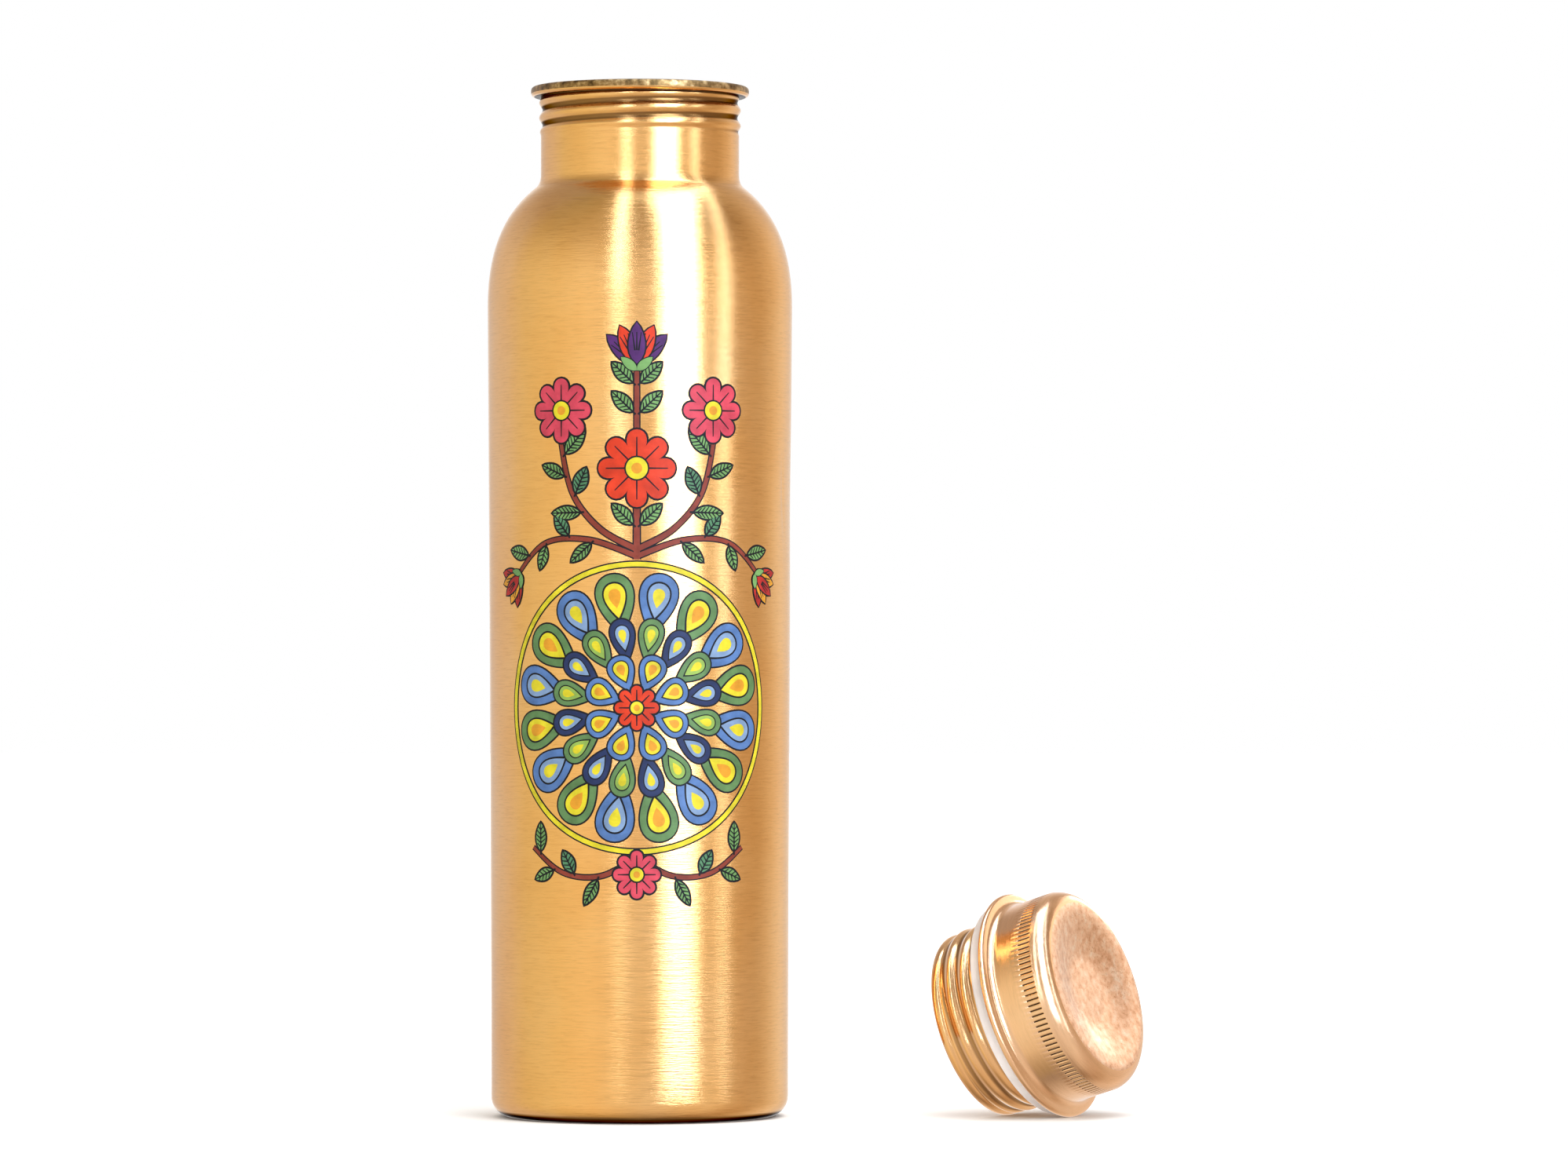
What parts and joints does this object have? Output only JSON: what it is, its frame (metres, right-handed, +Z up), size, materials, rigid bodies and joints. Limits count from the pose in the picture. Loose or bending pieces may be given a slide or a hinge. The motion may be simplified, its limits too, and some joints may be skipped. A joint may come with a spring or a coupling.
{
  "type": "copper water bottle",
  "caption": "Tall copper bottle with a rolled-thread neck, standing open, and its knurled screw cap with silicone ring lying beside it.",
  "frame": {"origin": "centre of the bottle's standing face on the table plane", "axes": "+Z up along the bottle's axis, +X towards the lying cap, -Y towards the viewer"},
  "size_m": [0.161, 0.0746, 0.252],
  "materials": {
    "copper_body": "brushed copper with a printed decoration",
    "silicone": "translucent white silicone",
    "copper_cap": "satin copper",
    "copper_plug": "bright rolled copper"
  },
  "bodies": {
    "bottle": {"bottle_shell": "copper_body"},
    "ring": {"gasket": "silicone"},
    "cap": {"cap_shell": "copper_cap", "cap_plug": "copper_plug"}
  },
  "joints": [
    {"name": "cap_carry", "type": "hinge", "parent": "bottle", "child": "ring", "pos_m": [-0.10523, 0.12838, 0.12293], "axis": [-0.5869, -0.7855, -0.1963], "range_deg": [0, 73.68]},
    {"name": "cap_turn", "type": "hinge", "parent": "ring", "child": "cap", "pos_m": [0.0986, 0, 0.02724], "axis": [0.8367, -0.4524, 0.3088], "continuous": true}
  ]
}
